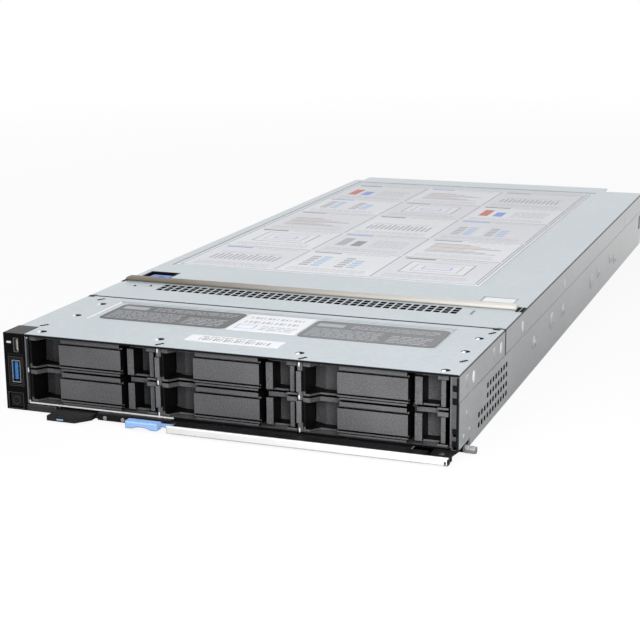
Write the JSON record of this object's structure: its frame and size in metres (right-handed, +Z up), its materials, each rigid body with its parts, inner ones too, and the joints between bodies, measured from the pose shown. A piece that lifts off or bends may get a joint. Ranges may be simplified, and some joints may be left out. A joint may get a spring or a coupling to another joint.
{
  "type": "blade server",
  "caption": "Flat half-height blade server sled with drive blanks, ejector handle, control panel and sliding top cover over its boards.",
  "frame": {"origin": "centre of the tray's underside, under the middle of the folded body", "axes": "+X to the right seen from the front, +Y from the front face to the rear, +Z up"},
  "size_m": [0.2562, 0.595, 0.0446],
  "materials": {
    "zinc_steel": "satin zinc-plated sheet",
    "cage_steel": "satin",
    "bright_steel": "polished",
    "blank_plastic": "fine grain moulding",
    "black_plastic": "fine grain moulding",
    "panel_plastic": "fine grain moulding",
    "blue_plastic": "satin moulding",
    "handle_silver": "satin",
    "gasket_fabric": "woven conductive cloth",
    "circuit_board": "solder mask",
    "socket_plastic": "moulded",
    "sink_aluminium": "milled",
    "connector_plastic": "moulded",
    "button_plastic": "satin moulding"
  },
  "bodies": {
    "chassis": {"chassis_tray": "zinc_steel", "front_top_plate": "zinc_steel", "rear_panel": "zinc_steel", "drive_cage": "cage_steel", "right_end_plate": "cage_steel", "tag_guide": "cage_steel", "handle_pivot_pin": "bright_steel", "release_rivets": "bright_steel", "usb_port_shell": "bright_steel", "service_port": "bright_steel", "board_standoffs": "bright_steel", "heat_sink_screws": "bright_steel", "coin_cell": "bright_steel", "processors": "bright_steel", "divider_trims": "black_plastic", "handle_bracket": "black_plastic", "release_bracket": "black_plastic", "control_panel": "panel_plastic", "usb_port_tongue": "blue_plastic", "control_panel_board": "circuit_board", "drive_backplane": "circuit_board", "system_board": "circuit_board", "memory_modules": "circuit_board", "storage_controller": "circuit_board", "boot_module": "circuit_board", "mezzanine_cards": "circuit_board", "processor_sockets": "socket_plastic", "memory_sockets": "socket_plastic", "heat_sink_front": "sink_aluminium", "heat_sink_rear": "sink_aluminium", "backplane_connectors": "connector_plastic", "fabric_connectors": "connector_plastic", "power_connector": "connector_plastic", "guide_sockets": "connector_plastic"},
    "cover": {"top_cover": "zinc_steel", "emi_gasket": "gasket_fabric", "latch_housing": "black_plastic"},
    "cover_latch": {"cover_latch": "blue_plastic"},
    "power_button": {"power_button": "button_plastic"},
    "handle": {"ejector_lever": "bright_steel", "handle_grip": "black_plastic", "handle_face": "handle_silver"},
    "release_tab": {"release_tab": "blue_plastic"},
    "information_tag": {"information_tag": "socket_plastic"},
    "blank_1": {"drive_blank_1": "blank_plastic"},
    "blank_latch_1": {"drive_latch_1": "blank_plastic"},
    "blank_2": {"drive_blank_2": "blank_plastic"},
    "blank_latch_2": {"drive_latch_2": "blank_plastic"},
    "blank_3": {"drive_blank_3": "blank_plastic"},
    "blank_latch_3": {"drive_latch_3": "blank_plastic"},
    "blank_4": {"drive_blank_4": "blank_plastic"},
    "blank_latch_4": {"drive_latch_4": "blank_plastic"},
    "blank_5": {"drive_blank_5": "blank_plastic"},
    "blank_latch_5": {"drive_latch_5": "blank_plastic"},
    "blank_6": {"drive_blank_6": "blank_plastic"},
    "blank_latch_6": {"drive_latch_6": "blank_plastic"},
    "memory_latches_1": {"memory_latches_1": "socket_plastic"},
    "memory_latches_2": {"memory_latches_2": "socket_plastic"},
    "memory_latches_3": {"memory_latches_3": "socket_plastic"},
    "memory_latches_4": {"memory_latches_4": "socket_plastic"}
  },
  "joints": [
    {"name": "cover_slide", "type": "slide", "parent": "chassis", "child": "cover", "axis": [0, 1, 0], "range_m": [0, 0.016]},
    {"name": "cover_latch_slide", "type": "slide", "parent": "cover", "child": "cover_latch", "axis": [0, 1, 0], "range_m": [0, 0.0035], "stiffness_N_per_m": 400},
    {"name": "power_button_press", "type": "slide", "parent": "chassis", "child": "power_button", "axis": [0, 1, 0], "range_m": [0, 0.0012], "stiffness_N_per_m": 800},
    {"name": "handle_swing", "type": "hinge", "parent": "chassis", "child": "handle", "pos_m": [0.1183, -0.2885, 0.00225], "axis": [0, 0, 1], "range_deg": [0, 60]},
    {"name": "release_tab_slide", "type": "slide", "parent": "chassis", "child": "release_tab", "axis": [-1, 0, 0], "range_m": [0, 0.0035], "stiffness_N_per_m": 500},
    {"name": "information_tag_slide", "type": "slide", "parent": "chassis", "child": "information_tag", "axis": [0, -1, 0], "range_m": [0, 0.055]},
    {"name": "blank_slide_1", "type": "slide", "parent": "chassis", "child": "blank_1", "axis": [0, -1, 0], "range_m": [0, 0.075]},
    {"name": "blank_latch_swing_1", "type": "hinge", "parent": "blank_1", "child": "blank_latch_1", "pos_m": [-0.03882, -0.2565, 0.03165], "axis": [0, 0, -1], "range_deg": [0, 6], "stiffness_Nm_per_rad": 0.3},
    {"name": "blank_slide_2", "type": "slide", "parent": "chassis", "child": "blank_2", "axis": [0, -1, 0], "range_m": [0, 0.075]},
    {"name": "blank_latch_swing_2", "type": "hinge", "parent": "blank_2", "child": "blank_latch_2", "pos_m": [0.03886, -0.2565, 0.03165], "axis": [0, 0, -1], "range_deg": [0, 6], "stiffness_Nm_per_rad": 0.3},
    {"name": "blank_slide_3", "type": "slide", "parent": "chassis", "child": "blank_3", "axis": [0, -1, 0], "range_m": [0, 0.075]},
    {"name": "blank_latch_swing_3", "type": "hinge", "parent": "blank_3", "child": "blank_latch_3", "pos_m": [0.11653, -0.2565, 0.03165], "axis": [0, 0, -1], "range_deg": [0, 6], "stiffness_Nm_per_rad": 0.3},
    {"name": "blank_slide_4", "type": "slide", "parent": "chassis", "child": "blank_4", "axis": [0, -1, 0], "range_m": [0, 0.075]},
    {"name": "blank_latch_swing_4", "type": "hinge", "parent": "blank_4", "child": "blank_latch_4", "pos_m": [-0.03882, -0.2565, 0.01325], "axis": [0, 0, -1], "range_deg": [0, 6], "stiffness_Nm_per_rad": 0.3},
    {"name": "blank_slide_5", "type": "slide", "parent": "chassis", "child": "blank_5", "axis": [0, -1, 0], "range_m": [0, 0.075]},
    {"name": "blank_latch_swing_5", "type": "hinge", "parent": "blank_5", "child": "blank_latch_5", "pos_m": [0.03886, -0.2565, 0.01325], "axis": [0, 0, -1], "range_deg": [0, 6], "stiffness_Nm_per_rad": 0.3},
    {"name": "blank_slide_6", "type": "slide", "parent": "chassis", "child": "blank_6", "axis": [0, -1, 0], "range_m": [0, 0.075]},
    {"name": "blank_latch_swing_6", "type": "hinge", "parent": "blank_6", "child": "blank_latch_6", "pos_m": [0.11653, -0.2565, 0.01325], "axis": [0, 0, -1], "range_deg": [0, 6], "stiffness_Nm_per_rad": 0.3},
    {"name": "memory_latch_swing_1", "type": "hinge", "parent": "chassis", "child": "memory_latches_1", "pos_m": [0, -0.09469, 0.01101], "axis": [1, 0, 0], "range_deg": [0, 28]},
    {"name": "memory_latch_swing_2", "type": "hinge", "parent": "chassis", "child": "memory_latches_2", "pos_m": [0, 0.04269, 0.01101], "axis": [-1, 0, 0], "range_deg": [0, 28]},
    {"name": "memory_latch_swing_3", "type": "hinge", "parent": "chassis", "child": "memory_latches_3", "pos_m": [0, 0.06331, 0.01101], "axis": [1, 0, 0], "range_deg": [0, 28]},
    {"name": "memory_latch_swing_4", "type": "hinge", "parent": "chassis", "child": "memory_latches_4", "pos_m": [0, 0.20069, 0.01101], "axis": [-1, 0, 0], "range_deg": [0, 28]}
  ]
}
